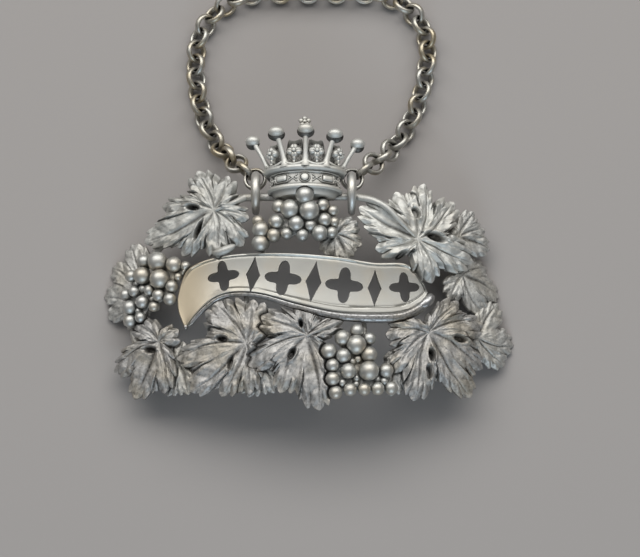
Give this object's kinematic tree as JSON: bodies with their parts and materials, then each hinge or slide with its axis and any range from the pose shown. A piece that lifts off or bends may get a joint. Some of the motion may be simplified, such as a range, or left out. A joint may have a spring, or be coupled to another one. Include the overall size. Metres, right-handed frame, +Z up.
{
  "type": "decanter label",
  "caption": "Pierced vine and grape label with a scroll and coronet, hung on a closed loop of round-link chain.",
  "frame": {"origin": "centre of the footprint of the label and its chain, on the surface that they lie on", "axes": "+Z up out of the label's face, +Y from the label's foot to its coronet and on along the chain, +X to the right as the face is seen"},
  "size_m": [0.0716, 0.079, 0.0169],
  "materials": {
    "matt_silver": "cast and chased silver with a satin surface and dark oxidised hollows",
    "bright_silver": "polished cast silver, dark between the grapes and under the rims",
    "polished_silver": "polished silver sheet with a warm tone and fine wear scratches",
    "ring_silver": "satin silver wire",
    "dark_silver": "tarnished silver wire, bright on top and nearly black inside the links"
  },
  "bodies": {
    "label": {"vine_branch": "matt_silver", "scroll": "polished_silver", "coronet": "bright_silver", "grapes_left": "bright_silver", "grapes_middle": "bright_silver", "grapes_right": "bright_silver", "leaf_upper_left": "matt_silver", "leaf_upper_right": "matt_silver", "leaf_lower_right": "matt_silver", "leaf_lower_middle": "matt_silver", "leaf_lower_left_inner": "matt_silver", "leaf_lower_left": "matt_silver"},
    "ring_left": {"ring_left": "ring_silver"},
    "ring_right": {"ring_right": "ring_silver"},
    "chain_left_01": {"chain_left_01": "dark_silver"},
    "chain_left_02": {"chain_left_02": "dark_silver"},
    "chain_left_03": {"chain_left_03": "dark_silver"},
    "chain_left_04": {"chain_left_04": "dark_silver"},
    "chain_left_05": {"chain_left_05": "dark_silver"},
    "chain_left_06": {"chain_left_06": "dark_silver"},
    "chain_left_07": {"chain_left_07": "dark_silver"},
    "chain_left_08": {"chain_left_08": "dark_silver"},
    "chain_left_09": {"chain_left_09": "dark_silver"},
    "chain_left_10": {"chain_left_10": "dark_silver"},
    "chain_left_11": {"chain_left_11": "dark_silver"},
    "chain_left_12": {"chain_left_12": "dark_silver"},
    "chain_left_13": {"chain_left_13": "dark_silver"},
    "chain_left_14": {"chain_left_14": "dark_silver"},
    "chain_left_15": {"chain_left_15": "dark_silver"},
    "chain_left_16": {"chain_left_16": "dark_silver"},
    "chain_left_17": {"chain_left_17": "dark_silver"},
    "chain_left_18": {"chain_left_18": "dark_silver"},
    "chain_left_19": {"chain_left_19": "dark_silver"},
    "chain_left_20": {"chain_left_20": "dark_silver"},
    "chain_left_21": {"chain_left_21": "dark_silver"},
    "chain_left_22": {"chain_left_22": "dark_silver"},
    "chain_left_23": {"chain_left_23": "dark_silver"},
    "chain_right_01": {"chain_right_01": "dark_silver"},
    "chain_right_02": {"chain_right_02": "dark_silver"},
    "chain_right_03": {"chain_right_03": "dark_silver"},
    "chain_right_04": {"chain_right_04": "dark_silver"},
    "chain_right_05": {"chain_right_05": "dark_silver"},
    "chain_right_06": {"chain_right_06": "dark_silver"},
    "chain_right_07": {"chain_right_07": "dark_silver"},
    "chain_right_08": {"chain_right_08": "dark_silver"},
    "chain_right_09": {"chain_right_09": "dark_silver"},
    "chain_right_10": {"chain_right_10": "dark_silver"},
    "chain_right_11": {"chain_right_11": "dark_silver"},
    "chain_right_12": {"chain_right_12": "dark_silver"},
    "chain_right_13": {"chain_right_13": "dark_silver"},
    "chain_right_14": {"chain_right_14": "dark_silver"},
    "chain_right_15": {"chain_right_15": "dark_silver"},
    "chain_right_16": {"chain_right_16": "dark_silver"},
    "chain_right_17": {"chain_right_17": "dark_silver"},
    "chain_right_18": {"chain_right_18": "dark_silver"},
    "chain_right_19": {"chain_right_19": "dark_silver"},
    "chain_right_20": {"chain_right_20": "dark_silver"},
    "chain_right_21": {"chain_right_21": "dark_silver"},
    "chain_right_22": {"chain_right_22": "dark_silver"},
    "chain_right_23": {"chain_right_23": "dark_silver"}
  },
  "joints": [
    {"name": "ring_left_hinge", "type": "hinge", "parent": "label", "child": "ring_left", "pos_m": [-0.00906, -0.00208, 0.01008], "axis": [1, 0, 0], "range_deg": [-38, 25]},
    {"name": "chain_left_01_hinge", "type": "hinge", "parent": "ring_left", "child": "chain_left_01", "pos_m": [-0.00923, 0.00153, 0.00765], "axis": [-1, 0, 0], "range_deg": [-2, 26]},
    {"name": "chain_left_02_hinge", "type": "hinge", "parent": "chain_left_01", "child": "chain_left_02", "pos_m": [-0.011, 0.00263, 0.0073], "axis": [1, 0, 0], "range_deg": [-21, 21]},
    {"name": "chain_left_03_hinge", "type": "hinge", "parent": "chain_left_02", "child": "chain_left_03", "pos_m": [-0.01257, 0.00424, 0.00655], "axis": [-1, 0, 0], "range_deg": [-22, 14]},
    {"name": "chain_left_04_hinge", "type": "hinge", "parent": "chain_left_03", "child": "chain_left_04", "pos_m": [-0.01394, 0.0058, 0.00532], "axis": [1, 0, 0], "range_deg": [-14, 19]},
    {"name": "chain_left_05_hinge", "type": "hinge", "parent": "chain_left_04", "child": "chain_left_05", "pos_m": [-0.0152, 0.00738, 0.00392], "axis": [-1, 0, 0], "range_deg": [-11, 27]},
    {"name": "chain_left_06_hinge", "type": "hinge", "parent": "chain_left_05", "child": "chain_left_06", "pos_m": [-0.01642, 0.00913, 0.00269], "axis": [1, 0, 0], "range_deg": [-32, 10]},
    {"name": "chain_left_07_hinge", "type": "hinge", "parent": "chain_left_06", "child": "chain_left_07", "pos_m": [-0.01756, 0.01114, 0.00194], "axis": [-1, 0, 0], "range_deg": [-5, 32]},
    {"name": "chain_left_08_hinge", "type": "hinge", "parent": "chain_left_07", "child": "chain_left_08", "pos_m": [-0.01851, 0.01336, 0.00173], "axis": [1, 0, 0], "range_deg": [-26, 18]},
    {"name": "chain_left_09_hinge", "type": "hinge", "parent": "chain_left_08", "child": "chain_left_09", "pos_m": [-0.01924, 0.0157, 0.00173], "axis": [-1, 0, 0], "range_deg": [-21, 26]},
    {"name": "chain_left_10_hinge", "type": "hinge", "parent": "chain_left_09", "child": "chain_left_10", "pos_m": [-0.01974, 0.01811, 0.00173], "axis": [1, 0, 0], "range_deg": [-21, 26]},
    {"name": "chain_left_11_hinge", "type": "hinge", "parent": "chain_left_10", "child": "chain_left_11", "pos_m": [-0.02004, 0.02058, 0.00173], "axis": [-1, 0, 0], "range_deg": [-22, 26]},
    {"name": "chain_left_12_hinge", "type": "hinge", "parent": "chain_left_11", "child": "chain_left_12", "pos_m": [-0.02013, 0.02309, 0.00173], "axis": [1, 0, 0], "range_deg": [-24, 26]},
    {"name": "chain_left_13_hinge", "type": "hinge", "parent": "chain_left_12", "child": "chain_left_13", "pos_m": [-0.02006, 0.02561, 0.00173], "axis": [-1, 0, 0], "range_deg": [-22, 24]},
    {"name": "chain_left_14_hinge", "type": "hinge", "parent": "chain_left_13", "child": "chain_left_14", "pos_m": [-0.01955, 0.02813, 0.00173], "axis": [1, 0, 0], "range_deg": [-19, 22]},
    {"name": "chain_left_15_hinge", "type": "hinge", "parent": "chain_left_14", "child": "chain_left_15", "pos_m": [-0.01846, 0.03055, 0.00173], "axis": [-1, 0, 0], "range_deg": [-19, 19]},
    {"name": "chain_left_16_hinge", "type": "hinge", "parent": "chain_left_15", "child": "chain_left_16", "pos_m": [-0.01688, 0.03275, 0.00173], "axis": [1, 0, 0], "range_deg": [-18, 19]},
    {"name": "chain_left_17_hinge", "type": "hinge", "parent": "chain_left_16", "child": "chain_left_17", "pos_m": [-0.01492, 0.03463, 0.00173], "axis": [-1, 0, 0], "range_deg": [-19, 19]},
    {"name": "chain_left_18_hinge", "type": "hinge", "parent": "chain_left_17", "child": "chain_left_18", "pos_m": [-0.01266, 0.03612, 0.00173], "axis": [1, 0, 0], "range_deg": [-21, 18]},
    {"name": "chain_left_19_hinge", "type": "hinge", "parent": "chain_left_18", "child": "chain_left_19", "pos_m": [-0.01021, 0.03715, 0.00173], "axis": [-1, 0, 0], "range_deg": [-21, 18]},
    {"name": "chain_left_20_hinge", "type": "hinge", "parent": "chain_left_19", "child": "chain_left_20", "pos_m": [-0.00768, 0.03766, 0.00173], "axis": [1, 0, 0], "range_deg": [-22, 21]},
    {"name": "chain_left_21_hinge", "type": "hinge", "parent": "chain_left_20", "child": "chain_left_21", "pos_m": [-0.00515, 0.03778, 0.00173], "axis": [-1, 0, 0], "range_deg": [-26, 26]},
    {"name": "chain_left_22_hinge", "type": "hinge", "parent": "chain_left_21", "child": "chain_left_22", "pos_m": [-0.00262, 0.03778, 0.00173], "axis": [1, 0, 0], "range_deg": [-27, 27]},
    {"name": "chain_left_23_hinge", "type": "hinge", "parent": "chain_left_22", "child": "chain_left_23", "pos_m": [-0.00009, 0.03778, 0.00173], "axis": [-1, 0, 0], "range_deg": [-27, 27]},
    {"name": "ring_right_hinge", "type": "hinge", "parent": "label", "child": "ring_right", "pos_m": [0.00744, -0.00208, 0.01008], "axis": [1, 0, 0], "range_deg": [-38, 25]},
    {"name": "chain_right_01_hinge", "type": "hinge", "parent": "ring_right", "child": "chain_right_01", "pos_m": [0.00761, 0.00153, 0.00765], "axis": [-1, 0, 0], "range_deg": [-2, 26]},
    {"name": "chain_right_02_hinge", "type": "hinge", "parent": "chain_right_01", "child": "chain_right_02", "pos_m": [0.00957, 0.00263, 0.0073], "axis": [1, 0, 0], "range_deg": [-21, 21]},
    {"name": "chain_right_03_hinge", "type": "hinge", "parent": "chain_right_02", "child": "chain_right_03", "pos_m": [0.01132, 0.00424, 0.00655], "axis": [-1, 0, 0], "range_deg": [-22, 14]},
    {"name": "chain_right_04_hinge", "type": "hinge", "parent": "chain_right_03", "child": "chain_right_04", "pos_m": [0.01285, 0.0058, 0.00532], "axis": [1, 0, 0], "range_deg": [-14, 19]},
    {"name": "chain_right_05_hinge", "type": "hinge", "parent": "chain_right_04", "child": "chain_right_05", "pos_m": [0.01429, 0.00738, 0.00392], "axis": [-1, 0, 0], "range_deg": [-11, 27]},
    {"name": "chain_right_06_hinge", "type": "hinge", "parent": "chain_right_05", "child": "chain_right_06", "pos_m": [0.01572, 0.00913, 0.00269], "axis": [1, 0, 0], "range_deg": [-32, 10]},
    {"name": "chain_right_07_hinge", "type": "hinge", "parent": "chain_right_06", "child": "chain_right_07", "pos_m": [0.0171, 0.01114, 0.00194], "axis": [-1, 0, 0], "range_deg": [-5, 32]},
    {"name": "chain_right_08_hinge", "type": "hinge", "parent": "chain_right_07", "child": "chain_right_08", "pos_m": [0.0183, 0.01336, 0.00173], "axis": [1, 0, 0], "range_deg": [-26, 18]},
    {"name": "chain_right_09_hinge", "type": "hinge", "parent": "chain_right_08", "child": "chain_right_09", "pos_m": [0.01929, 0.0157, 0.00173], "axis": [-1, 0, 0], "range_deg": [-21, 26]},
    {"name": "chain_right_10_hinge", "type": "hinge", "parent": "chain_right_09", "child": "chain_right_10", "pos_m": [0.02006, 0.01811, 0.00173], "axis": [1, 0, 0], "range_deg": [-21, 26]},
    {"name": "chain_right_11_hinge", "type": "hinge", "parent": "chain_right_10", "child": "chain_right_11", "pos_m": [0.02063, 0.02058, 0.00173], "axis": [-1, 0, 0], "range_deg": [-22, 26]},
    {"name": "chain_right_12_hinge", "type": "hinge", "parent": "chain_right_11", "child": "chain_right_12", "pos_m": [0.021, 0.02309, 0.00173], "axis": [1, 0, 0], "range_deg": [-24, 26]},
    {"name": "chain_right_13_hinge", "type": "hinge", "parent": "chain_right_12", "child": "chain_right_13", "pos_m": [0.02121, 0.02561, 0.00173], "axis": [-1, 0, 0], "range_deg": [-22, 24]},
    {"name": "chain_right_14_hinge", "type": "hinge", "parent": "chain_right_13", "child": "chain_right_14", "pos_m": [0.02098, 0.02813, 0.00173], "axis": [1, 0, 0], "range_deg": [-19, 22]},
    {"name": "chain_right_15_hinge", "type": "hinge", "parent": "chain_right_14", "child": "chain_right_15", "pos_m": [0.02014, 0.03055, 0.00173], "axis": [-1, 0, 0], "range_deg": [-19, 19]},
    {"name": "chain_right_16_hinge", "type": "hinge", "parent": "chain_right_15", "child": "chain_right_16", "pos_m": [0.01879, 0.03275, 0.00173], "axis": [1, 0, 0], "range_deg": [-18, 19]},
    {"name": "chain_right_17_hinge", "type": "hinge", "parent": "chain_right_16", "child": "chain_right_17", "pos_m": [0.01702, 0.03463, 0.00173], "axis": [-1, 0, 0], "range_deg": [-19, 19]},
    {"name": "chain_right_18_hinge", "type": "hinge", "parent": "chain_right_17", "child": "chain_right_18", "pos_m": [0.0149, 0.03612, 0.00173], "axis": [1, 0, 0], "range_deg": [-21, 18]},
    {"name": "chain_right_19_hinge", "type": "hinge", "parent": "chain_right_18", "child": "chain_right_19", "pos_m": [0.01253, 0.03715, 0.00173], "axis": [-1, 0, 0], "range_deg": [-21, 18]},
    {"name": "chain_right_20_hinge", "type": "hinge", "parent": "chain_right_19", "child": "chain_right_20", "pos_m": [0.01003, 0.03766, 0.00173], "axis": [1, 0, 0], "range_deg": [-22, 21]},
    {"name": "chain_right_21_hinge", "type": "hinge", "parent": "chain_right_20", "child": "chain_right_21", "pos_m": [0.0075, 0.03778, 0.00173], "axis": [-1, 0, 0], "range_deg": [-26, 26]},
    {"name": "chain_right_22_hinge", "type": "hinge", "parent": "chain_right_21", "child": "chain_right_22", "pos_m": [0.00497, 0.03778, 0.00173], "axis": [1, 0, 0], "range_deg": [-27, 27]},
    {"name": "chain_right_23_hinge", "type": "hinge", "parent": "chain_right_22", "child": "chain_right_23", "pos_m": [0.00244, 0.03778, 0.00173], "axis": [-1, 0, 0], "range_deg": [-27, 27]}
  ],
  "couplings": [
    {"joint": "ring_right_hinge", "follows": "ring_left_hinge", "ratio": 1},
    {"joint": "chain_right_01_hinge", "follows": "chain_left_01_hinge", "ratio": 1},
    {"joint": "chain_right_02_hinge", "follows": "chain_left_02_hinge", "ratio": 1},
    {"joint": "chain_right_03_hinge", "follows": "chain_left_03_hinge", "ratio": 1},
    {"joint": "chain_right_04_hinge", "follows": "chain_left_04_hinge", "ratio": 1},
    {"joint": "chain_right_05_hinge", "follows": "chain_left_05_hinge", "ratio": 1},
    {"joint": "chain_right_06_hinge", "follows": "chain_left_06_hinge", "ratio": 1},
    {"joint": "chain_right_07_hinge", "follows": "chain_left_07_hinge", "ratio": 1},
    {"joint": "chain_right_08_hinge", "follows": "chain_left_08_hinge", "ratio": 1},
    {"joint": "chain_right_09_hinge", "follows": "chain_left_09_hinge", "ratio": 1},
    {"joint": "chain_right_10_hinge", "follows": "chain_left_10_hinge", "ratio": 1},
    {"joint": "chain_right_11_hinge", "follows": "chain_left_11_hinge", "ratio": 1},
    {"joint": "chain_right_12_hinge", "follows": "chain_left_12_hinge", "ratio": 1},
    {"joint": "chain_right_13_hinge", "follows": "chain_left_13_hinge", "ratio": 1},
    {"joint": "chain_right_14_hinge", "follows": "chain_left_14_hinge", "ratio": 1},
    {"joint": "chain_right_15_hinge", "follows": "chain_left_15_hinge", "ratio": 1},
    {"joint": "chain_right_16_hinge", "follows": "chain_left_16_hinge", "ratio": 1},
    {"joint": "chain_right_17_hinge", "follows": "chain_left_17_hinge", "ratio": 1},
    {"joint": "chain_right_18_hinge", "follows": "chain_left_18_hinge", "ratio": 1},
    {"joint": "chain_right_19_hinge", "follows": "chain_left_19_hinge", "ratio": 1},
    {"joint": "chain_right_20_hinge", "follows": "chain_left_20_hinge", "ratio": 1},
    {"joint": "chain_right_21_hinge", "follows": "chain_left_21_hinge", "ratio": 1},
    {"joint": "chain_right_22_hinge", "follows": "chain_left_22_hinge", "ratio": 1},
    {"joint": "chain_right_23_hinge", "follows": "chain_left_23_hinge", "ratio": 1}
  ]
}
